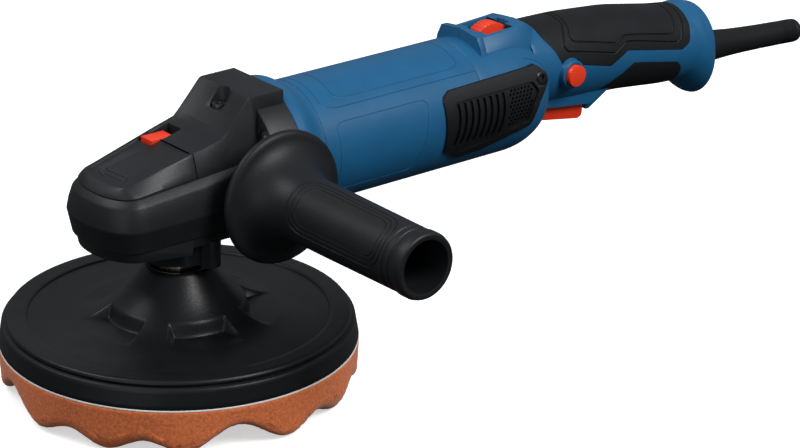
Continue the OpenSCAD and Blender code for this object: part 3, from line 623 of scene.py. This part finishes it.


# ---- arrow on the head ----


def head_details():
    """Plain direction arrow sunk into the front cap."""
    arrow = [(-39.6, 8.6), (-35.2, 9.0), (-36.6, 6.0), (-35.6, -10), (-38.6, -11.4), (-39.4, 4.2), (-41.2, 3)]
    path = dense(rounded(arrow, 0.5, 3), 0.8, True)
    points, normals = [(x, y, plate_z(x) - 0.7) for x, y in path], [(-0.23, 0, 1)] * len(path)
    carve(bpy.data.objects["head_front_cap_moulded"], [("DIFFERENCE", cutter(*groove_tube(points, normals, 0.34)))])


head_details()


# ---- motor housing ----

BARREL_R = 33.06
BARREL_DEGREE = 0.577  # one degree around the barrel
GRIP_DEGREE = 0.39  # one degree around the grip
GRILLE_EDGE = rounded([(145, 98), (156, 91.3), (173, 92.6), (203, 100), (208, 112), (215, 122),
                       (215, 126), (210, 130.5), (150, 129.2), (145, 126.5)], 2.5, 4)


def on_barrel(path, side=1, r=BARREL_R):
    """3D points and normals for a path of (x, degrees from the top), on the side handle's side where side is 1."""
    turn = [math.radians(a) for _, a in path]
    points = [(x, -side * r * math.sin(a), AXIS_Z + r * math.cos(a)) for (x, _), a in zip(path, turn)]
    return points, [(0, -side * math.sin(a), math.cos(a)) for a in turn]


def barrel_groove(path, side=1, radius=0.3, closed=True):
    """Groove along a path of (x, degrees from the top) on the barrel."""
    fine = dense([(x, a * BARREL_DEGREE) for x, a in path], 1.4, closed)
    return cutter(*groove_tube(*on_barrel([(x, a / BARREL_DEGREE) for x, a in fine], side), radius, closed))


def motor_housing():
    """Barrel with a flared collar, a bearing wall with four air holes, and its panel and seam grooves."""
    collar = [(BARREL_R + 5.24 * (1 + math.cos(math.pi * i / 12)) / 2, 55 + 13 * i / 12) for i in range(13)]
    shell = [(30.3, 51), (37.9, 51), (38.3, 51.4)] + collar
    shell += [(BARREL_R, x) for x in range(72, 172, 5)] + [(BARREL_R, 171.8), (32.85, 172), (30.3, 172)]
    obj = piece("motor_housing_barrel", *lathe(shell, 240), BLUE, "housing", ["motor_housing"], place=along_x())
    steps = [("UNION", cutter(*lathe([(27, 51), (31, 51), (31, 56), (27, 56)], 96), along_x())),
             ("UNION", cutter(*lathe([(8, 157), (30.4, 157), (30.4, 161), (13.5, 161), (13.5, 168),
                                      (11, 168), (11, 160), (8, 160)], 96), along_x()))]
    for k in range(4):
        a = math.radians(45 + 90 * k)
        place = along_x(0, 21.5 * math.cos(a), AXIS_Z + 21.5 * math.sin(a))
        steps.append(("DIFFERENCE", cutter(*rod(6.5, 155, 163), place)))
    for side in (-1, 1):
        steps.append(("DIFFERENCE", cutter(*prism_y(GRILLE_EDGE, side * 12, side * 40))))
        panel = rounded([(77, 58.2), (136, 58.2), (132, 92), (126, 124.2), (77, 124.2)], 6, 6)
        steps.append(("DIFFERENCE", barrel_groove(panel, side, 0.22)))
    top = rounded([(83, -37.2), (164, -37.2), (164, 37.2), (83, 37.2)], 8, 7)
    steps.append(("DIFFERENCE", barrel_groove(top)))
    bow = rounded([(173, -45.2), (73, -45.2), (73, 45.2), (173, 45.2)], 11, 9)[9:27]
    steps.append(("DIFFERENCE", barrel_groove([(173, -45.2)] + bow + [(173, 45.2)], closed=False)))
    waist = on_barrel([(68.6, 2 * i) for i in range(180)])
    steps.append(("DIFFERENCE", cutter(*groove_tube(*waist, 0.3))))
    carve(obj, steps, 30)


motor_housing()


# ---- vent grilles ----


def vent_grille(side, node):
    """Grille with curved slots, a patch of small slanted holes and a thin screen behind them."""
    shell = [(30.8, 140), (34.3, 140), (34.3, 220), (30.8, 220)]
    obj = piece(f"{node}_slatted", *lathe(refine(shell, 8), 240), GRILLE, "housing", [node], place=along_x())
    frame_edge = rounded([(149.6, 100), (157, 95), (172.5, 96.6), (200.2, 103), (204.2, 112.6),
                          (208, 118.4), (204.5, 123.6), (152, 123.2), (149.6, 121)], 2.5, 4)
    inner = cutter(*prism_y(frame_edge, side * 12, side * 40))
    recess = cutter(*lathe([(32.9, 138), (40, 138), (40, 222), (32.9, 222)], 240), along_x())
    carve(inner, [("INTERSECT", recess)])
    steps = [("INTERSECT", cutter(*prism_y(GRILLE_EDGE, side * 12, side * 40))), ("DIFFERENCE", inner)]
    for i in range(8):
        x = 154.2 + 4.3 * i
        arc = [(x + 2.2 * t - 5.2 * t * t, 121.6 - 23.5 * t) for t in np.linspace(0, 0.95, 9)]
        outline = [(a - 1.1, b) for a, b in arc] + [(a + 1.1, b) for a, b in reversed(arc)]
        bottom = max(96.6 + 0.23 * (x - 172), 99.6 - 0.6 * (x - 152))
        outline = [(a, max(b, bottom)) for a, b in outline]
        keep = list(dict.fromkeys(outline))
        steps.append(("DIFFERENCE", cutter(*prism_y(keep, side * 20, side * 40))))
    holes = []
    for row in range(11):
        for column in range(8):
            x, z = 190.2 + 2.4 * column - 0.95 * row, 121.2 - 2.0 * row
            lowest = 99.8 + 0.24 * (x - 180)
            left = 188.6 - 5.2 * ((121.6 - z) / 23.5) ** 2 + 2.2 * (121.6 - z) / 23.5
            if z > lowest and left < x < 204.6 - 0.36 * max(0.0, 117 - z):
                holes.append((x, z))
    verts, faces = [], []
    for x, z in holes:
        body, sides = prism_y([(x - 0.9, z - 0.7), (x + 0.5, z - 0.7), (x + 0.9, z + 0.7), (x - 0.5, z + 0.7)],
                              side * 20, side * 40)
        faces += [tuple(i + len(verts) for i in f) for f in sides]
        verts += body
    steps.append(("DIFFERENCE", cutter(verts, faces)))
    screen = cutter(*lathe(refine([(30.8, 140), (31.5, 140), (31.5, 220), (30.8, 220)], 8), 240), along_x())
    carve(screen, [("INTERSECT", cutter(*prism_y(frame_edge, side * 12, side * 40)))])
    steps.append(("UNION", screen))
    steps.append(("DIFFERENCE", cutter(*rod(1.7, 20, 40), along_y(211, 123.4, side))))
    steps.append(("DIFFERENCE", cutter(*rod(3.1, 32, 40), along_y(211, 123.4, side))))
    carve(obj, steps, 30)
    bevel(obj, 0.25, 1, 40)


vent_grille(-1, "vent_grille_left")
vent_grille(1, "vent_grille_right")


# ---- side handle ----


def side_handle():
    """Side handle with its flange, hollow end and three panel lines."""
    arc = [(32.9 - 15.9 * math.sin(a), 4.2 + 24 * (1 - math.cos(a))) for a in np.linspace(0.04, math.pi / 2, 20)]
    length = 112.9
    outer = [(4.05, 0), (32.8, 0), (33.8, 0.4), (34.2, 1.2), (34.2, 2.4), (33.9, 3.1), (33.3, 3.6)] + arc
    outer += [(16.9, 50), (16.7, 70), (16.5, 92), (16.45, 99.2), (15.9, 99.6), (15.9, 100.4), (16.4, 100.8),
              (16.4, 103.4), (15.9, 103.8), (15.9, 104.5), (16.5, 105), (16.9, 106.4), (16.9, 110.6), (16.4, 112.2),
              (15.6, 112.8), (14.2, length), (13.3, 112.6), (13.2, 111.6), (13.2, 40), (4.05, 40)]
    place = Matrix.Translation((HANDLE_X, -BOSS_Y, HANDLE_Z)) @ Matrix.Rotation(math.radians(90), 4, "X")
    obj = piece("side_handle_moulded", *lathe(refine(outer, 6), 160), HANDLE, "housing", ["side_handle_grip"],
                sharp=28, place=place)
    steps = []
    for inset, depth in ((0, 0.5), (2.6, 0.42), (5.0, 0.42)):
        half, start, end = 15.4 - inset, 26 + inset * 1.3, 97.5 - inset
        loop = rounded([(start, -half), (end, -half), (end, half), (start, half)], 13 - inset, 10)
        loop = dense(loop, 1.3, True)
        points, normals = [], []
        for h, arc_length in loop:
            turn = math.radians(141) + arc_length / 16.8
            r = np.interp(h, [p[1] for p in outer[7:40]], [p[0] for p in outer[7:40]])
            points.append(place @ Vector((r * math.cos(turn), r * math.sin(turn), h)))
            normals.append(place.to_3x3() @ Vector((math.cos(turn), math.sin(turn), 0)))
        steps.append(("DIFFERENCE", cutter(*groove_tube(points, normals, depth))))
    carve(obj, steps, 28)


side_handle()


# ---- rear housing, grips and guard ----

# stations along the grip and the guard: x, centre height, half height and half width
GRIP_STATIONS = [(216, 121, 23.5, 22.5), (250, 119.5, 24.3, 22.5), (286, 117, 23.6, 21.5),
                 (320, 111.8, 22.4, 21.5), (348, 109.5, 21, 21.5)]
GUARD_STATIONS = [(331.5, 111, 20.8, 21), (335.5, 110, 22.4, 21.4), (339, 108.6, 24.2, 21.9),
                  (342, 107.1, 25.7, 22.3), (345.5, 105.2, 26.3, 22.2), (348.5, 103.8, 26.2, 21.4),
                  (351.5, 102.8, 24.8, 18.9), (353.5, 102.6, 22.4, 16.2), (355.2, 102.7, 17.4, 12.8),
                  (356, 103, 13, 10.4)]
BOOT_PLACE = Matrix.Translation((346, 0, 102.5)) @ Matrix.Rotation(math.radians(94), 4, "Y")
NOSE_SIDES = [(222, 108), (222, 98.6), (262.4, 93.4), (264.6, 93.7), (277, 99.7), (283, 108)]
NOSE_TIP = [(262, 98), (262, 89), (265, 88.8), (280, 97.4), (280, 101)]
UPPER_REGION = rounded([(222, 152), (225, 138.4), (230.5, 131), (234, 123.4), (247.6, 120.8), (269.5, 115.3),
                        (282.2, 121.4), (322.7, 113.4), (328.6, 116), (332, 124.9), (333.5, 134), (333.5, 152)], 4)
LOWER_REGION = rounded([(266, 60), (268.5, 101), (287, 113.6), (320, 107), (323.6, 103.4), (325.8, 97),
                        (326, 60)], 3)
SHOULDER_X, SHOULDER_LENGTH, SHOULDER_DEPTH = 198, 28, 16  # elliptic shoulder at the barrel's end
LOCK_ON = (239.6, 117.8)  # axis of the lock-on button
DIAL = (200, 135.3)  # axis of the speed dial
REAR_SCREWS = [(228.5, 131), (282, 104), (300, 126), (332.7, 100.4)]


def section(stations, x):
    """Centre height, half height and half width of a loft at x."""
    return [float(np.interp(x, [p[0] for p in stations], [p[k] for p in stations])) for k in (1, 2, 3)]


def ellipse_loft(stations, inset, step=3.0, count=96, blur=2.5):
    """Loft of upright ellipses through the stations, blended over blur mm and shrunk by inset."""
    x0, x1 = stations[0][0] + inset * 0.2, stations[-1][0] - inset * 0.5
    rings = []
    for x in np.linspace(x0, x1, max(2, round((x1 - x0) / step) + 1)):
        blend = [section(stations, min(max(x + blur * d, x0), x1)) for d in (-2, -1, 0, 1, 2)]
        zc, hz, wy = np.mean(blend, axis=0) - np.array([0, inset, inset])
        turn = np.linspace(0, 2 * math.pi, count, endpoint=False)
        rings.append([(x, -wy * math.cos(a), zc + hz * math.sin(a)) for a in turn])
    return loft(rings)


def on_grip(path):
    """3D points and normals on the grip for a path of (x, degrees from the top), on the handle's side if positive."""
    points, normals = [], []
    for x, a in path:
        blend = [section(GRIP_STATIONS, x + d) for d in (-5, -2.5, 0, 2.5, 5)]
        zc, hz, wy = np.mean(blend, axis=0)
        y, z = -math.sin(math.radians(a)), math.cos(math.radians(a))
        points.append((x, wy * y, zc + hz * z))
        normals.append((0, y / wy * 22, z / hz * 22))
    return points, normals


def grip_groove(half, corner, radius):
    """Groove of a panel outline that is the same on both sides and closes over the top."""
    path = half + [(x, -a) for x, a in reversed(half) if a]
    scaled = rounded([(x, a * GRIP_DEGREE) for x, a in path], corner)
    points, normals = on_grip([(x, a / GRIP_DEGREE) for x, a in dense(scaled, 1.2, True)])
    return cutter(*groove_tube(points, normals, radius))


def barrel_end(inset):
    """Round end of the barrel, shrunk by inset."""
    arc = [(BARREL_R - SHOULDER_DEPTH + (SHOULDER_DEPTH - inset) * math.cos(a),
            SHOULDER_X + (SHOULDER_LENGTH - inset) * math.sin(a)) for a in np.linspace(0, math.pi / 2, 20)]
    edge = [(BARREL_R - inset, 171)] if inset else [(BARREL_R - 0.25, 172.05), (BARREL_R, 172.3)]
    tip = (0, SHOULDER_X + SHOULDER_LENGTH - inset)
    return lathe([(0, edge[0][1])] + refine(edge + arc[:1], 6) + arc[1:] + [tip], 192)


def hump_ring(x, base, z_base, mid, z_mid, top, z_top, crown):
    """Section of the dial's housing at x: half width and height at its base, middle and top, and its crown."""
    half = [(base, z_base), (mid, z_mid), (top, z_top)]
    return ([(x, -y, z) for y, z in half] + [(x, 0, crown)] + [(x, y, z) for y, z in reversed(half)])


def hump():
    """Raised front wall of the speed dial's housing, and the lower body behind it."""
    wall = loft([hump_ring(180.5, 19.6, 133, 17.6, 141.5, 14.4, 147.6, 149.4),
                 hump_ring(184.2, 19.6, 133, 17.6, 141.5, 14.4, 147.6, 149.4)])
    body = loft([hump_ring(183, 18.4, 133, 15.0, 139.5, 11.6, 145.6, 146.2),
                 hump_ring(187, 18.8, 133, 17.2, 139.5, 12.4, 146.0, 146.6),
                 hump_ring(209, 18.6, 133, 17.0, 140.0, 12.6, 147.0, 147.6),
                 hump_ring(214, 18.0, 133, 16.2, 140.0, 12.2, 147.6, 148.4),
                 hump_ring(219, 16.4, 132, 14.6, 138.6, 10.8, 146.0, 147.0),
                 hump_ring(223, 14.0, 130, 12.4, 136.4, 9.0, 142.8, 144.0),
                 hump_ring(226.5, 10.0, 126, 8.6, 131, 6.6, 136.6, 137.4)])
    return wall, body


def grip_solid(inset):
    return ellipse_loft(GRIP_STATIONS, inset)


def guard_solid():
    return ellipse_loft(GUARD_STATIONS, 0, 0.8, blur=0.5)


def rear_housing():
    """The rear housing as one blank with its openings and seams, cut into a left and a right half."""
    obj = piece("rear_housing_blank", *barrel_end(0), BLUE, "housing", place=along_x())
    wall, body = hump()
    boss = lathe([(0, 15), (9.2, 15), (8.6, 21.4), (7.9, 22.6), (7.6, 25.0), (7.2, 25.5), (0, 25.5)], 64)
    skin = cutter(*grip_solid(0))
    carve(skin, [("DIFFERENCE", cutter(*prism_y(UPPER_REGION, -40, 40))),
                 ("DIFFERENCE", cutter(*prism_y(LOWER_REGION, -40, 40)))])
    steps = [("UNION", cutter(*grip_solid(2))), ("UNION", skin), ("UNION", cutter(*guard_solid())),
             ("UNION", cutter(*wall)), ("UNION", cutter(*body)),
             ("UNION", cutter(*prism_y(rounded(NOSE_SIDES, 1.6), -14, 14))),
             ("UNION", cutter(*prism_y(rounded(NOSE_TIP, 1.2), -10, 10))),
             ("UNION", cutter(*boss, along_y(*LOCK_ON, -1))),
             ("DIFFERENCE", cutter(*barrel_end(2.6), along_x())),
             ("DIFFERENCE", cutter(*grip_solid(4.8))),
             ("DIFFERENCE", cutter(*box_mesh(223, 262.6, -10.2, 10.2, 80, 110))),
             ("DIFFERENCE", cutter(*box_mesh(DIAL[0] - 11, DIAL[0] + 11, -4.6, 4.6, 139, 152))),
             ("DIFFERENCE", cutter(*rod(14.5, -10.2, 10.2, 96), along_y(*DIAL))),
             ("DIFFERENCE", cutter(*rod(6.0, 10, 30, 64), along_y(*LOCK_ON, -1)))]
    boot_hole = [(0, -22), (9.3, -22), (9.3, 0), (11.6, 0), (11.6, 4.2), (9.3, 4.2), (9.3, 20), (0, 20)]
    steps.append(("DIFFERENCE", cutter(*lathe(boot_hole, 64), BOOT_PLACE)))
    for x, z in REAR_SCREWS:
        steps.append(("DIFFERENCE", cutter(*rod(3.2, 9, 40, 32), along_y(x, z))))
    for side in (-1, 1):
        steps.append(("DIFFERENCE", cutter(*prism_y(GRILLE_EDGE, side * 12, side * 40))))
    carve(obj, steps, 30)
    bevel(obj, 0.5, 2, 38)
    seams = []
    for side in (-1, 1):
        outline = [(171, 45.2), (206, 45.2), (216, 50), (221, 62), (223.4, 80)]
        fine = dense(rounded([(x, a * BARREL_DEGREE) for x, a in outline + [(150, 80), (150, 45.2)]], 9)[6:36], 1.5)
        seam = [(x, a / BARREL_DEGREE) for x, a in fine if x > 170.5]
        points, normals = [], []
        for x, a in seam:
            past = max(0.0, x - SHOULDER_X) / SHOULDER_LENGTH
            r = BARREL_R - SHOULDER_DEPTH + SHOULDER_DEPTH * math.sqrt(1 - past ** 2)
            one, normal = on_barrel([(x, a)], side, r)
            points += one
            normals += normal
        seams.append(("DIFFERENCE", cutter(*groove_tube(points, normals, 0.3, False))))
    carve(obj, seams, 30)
    for name, y0, y1 in (("rear_housing_left", -60, -0.06), ("rear_housing_right", 0.06, 60)):
        half = obj.copy()
        half.data = obj.data.copy()
        half.name = half.data.name = f"{name}_moulded"
        bpy.context.scene.collection.objects.link(half)
        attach(half, "housing")
        carve(half, [("INTERSECT", cutter(*box_mesh(150, 400, y0, y1, 40, 190)))], 30)
        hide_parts(name)
    bpy.data.objects.remove(obj)


rear_housing()


def overmould(name, region, node, cuts, grooves):
    """Rubber skin 2 mm thick over one side region of the grip."""
    obj = piece(name, *grip_solid(-0.12), GRIP, "housing", [node])
    around = [("DIFFERENCE", cutter(*grip_solid(2.05))), ("INTERSECT", cutter(*prism_y(region, -40, 40)))]
    carve(obj, around + cuts, 34)
    bevel(obj, 0.7, 3, 40)
    carve(obj, [("DIFFERENCE", tool) for tool in grooves], 34)


def grips():
    """Both grips, and the two panel grooves of the upper one as (x, degrees from the top)."""
    _, body = hump()
    boss = cutter(*rod(8.6, 15, 30, 64), along_y(*LOCK_ON, -1))
    outer = [(243, 27), (236.6, 58), (239, 67.4), (273, 81), (282.2, 68.7), (320, 74.2), (323.5, 68.6),
             (328, 38.4), (329, 17)]
    inner = [(246, 15), (245, 35), (242.4, 51), (245, 56), (274, 68), (281, 59.7), (315.3, 62.2),
             (318.5, 58.9), (322.6, 33.2), (323.2, 15)]
    overmould("upper_grip_moulded", UPPER_REGION, "upper_grip",
              [("DIFFERENCE", cutter(*barrel_end(0), along_x())), ("DIFFERENCE", cutter(*body)),
               ("DIFFERENCE", boss), ("DIFFERENCE", cutter(*guard_solid()))],
              [grip_groove(outer, 3, 0.85), grip_groove(inner, 3, 0.7)])
    overmould("lower_grip_moulded", LOWER_REGION, "lower_grip",
              [("DIFFERENCE", cutter(*prism_y(NOSE_SIDES, -14.1, 14.1))),
               ("DIFFERENCE", cutter(*prism_y(NOSE_TIP, -10.1, 10.1))), ("DIFFERENCE", cutter(*guard_solid()))], [])


grips()


# ---- cord boot ----


def cord_boot():
    """Tapered boot with six ribs near its end."""
    ribs = []
    for i in range(6):
        h = 72 + 2.1 * i
        ribs += [(6.75, h), (6.75, h + 1.0), (6.3, h + 1.25), (6.3, h + 1.85)]
    profile = [(4.3, 0.8), (11.4, 0.8), (11.4, 4), (9.1, 4), (9.1, 11), (8.9, 16), (8.3, 24), (7.6, 34), (7.2, 45),
               (6.9, 58), (6.8, 70)] + ribs + [(6.7, 85), (6.5, 86.6), (5.9, 87.7), (5.0, 88), (4.3, 88)]
    obj = piece("cord_boot_moulded", *lathe(profile, 96), BOOT, "housing", ["cord_boot"], sharp=50, place=BOOT_PLACE)


cord_boot()


# ---- CAD nodes ----

WELD, EDGES = weld_group(), edge_group()
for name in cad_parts:
    soften(name, WELD, EDGES)


# ---- studio ----


def studio():
    """Camera, soft light that fades towards the floor, and a pale floor."""
    scene = bpy.context.scene
    scene.view_settings.view_transform = "Standard"
    camera = bpy.data.objects.new("camera", bpy.data.cameras.new("camera"))
    scene.collection.objects.link(camera)
    scene.camera = camera
    camera.data.lens = 138.9
    camera.data.clip_end = 20
    forward = Vector((0.58692, 0.71556, -0.37881))
    right = Vector((0.77585, -0.63083, 0.01047))
    down = Vector((-0.23147, -0.30005, -0.92541))
    turn = Matrix((right, -down, -forward)).transposed().to_4x4()
    camera.matrix_world = Matrix.Translation(Vector((-0.80929, -1.1601, 0.66273))) @ turn

    world = bpy.data.worlds.new("world")
    scene.world = world
    world.use_nodes = True
    nodes, links = world.node_tree.nodes, world.node_tree.links
    sky = nodes["Background"]
    sky.inputs["Color"].default_value = (0.93, 0.95, 1.0, 1)
    height = nodes.new("ShaderNodeSeparateXYZ")
    links.new(nodes.new("ShaderNodeTexCoord").outputs["Generated"], height.inputs["Vector"])
    fade = nodes.new("ShaderNodeMapRange")
    fade.inputs["From Min"].default_value = -0.6
    fade.inputs["From Max"].default_value = 0.9
    fade.inputs["To Min"].default_value = 0.02
    fade.inputs["To Max"].default_value = 0.38
    links.new(height.outputs["Z"], fade.inputs["Value"])
    links.new(fade.outputs["Result"], sky.inputs["Strength"])
    backdrop = nodes.new("ShaderNodeBackground")
    choose = nodes.new("ShaderNodeMixShader")
    links.new(nodes.new("ShaderNodeLightPath").outputs["Is Camera Ray"], choose.inputs["Fac"])
    links.new(sky.outputs["Background"], choose.inputs[1])
    links.new(backdrop.outputs["Background"], choose.inputs[2])
    backdrop.inputs["Color"].default_value = (1, 1, 1, 1)
    links.new(choose.outputs["Shader"], nodes["World Output"].inputs["Surface"])

    def area(name, location, target, size, power):
        light = bpy.data.objects.new(name, bpy.data.lights.new(name, "AREA"))
        light.data.size = size
        light.data.energy = power
        light.location = location
        light.rotation_euler = (Vector(target) - Vector(location)).to_track_quat("-Z", "Y").to_euler()
        scene.collection.objects.link(light)

    area("key", (0.5, -1.5, 1.5), (0.1, 0, 0.1), 0.9, 36)
    area("top", (-0.9, 0.6, 1.6), (0.1, 0, 0.1), 1.0, 16)
    area("fill", (-1.6, -0.7, 0.5), (0, 0, 0.1), 1.2, 5)

    mesh = bpy.data.meshes.new("floor")
    mesh.from_pydata([(-9, -9, 0), (9, -9, 0), (9, 9, 0), (-9, 9, 0)], [], [(0, 1, 2, 3)])
    floor = bpy.data.objects.new("floor", mesh)
    scene.collection.objects.link(floor)
    pale = material("floor", (0.86, 0.86, 0.86), 0.9, spec=0.1, mottle=0.01, bump=0.0)
    glow = pale.node_tree.nodes["Principled BSDF"].inputs
    glow["Emission Color"].default_value = (1, 1, 1, 1)
    glow["Emission Strength"].default_value = 0.55
    mesh.materials.append(pale)
    floor.visible_diffuse = floor.visible_glossy = False


studio()
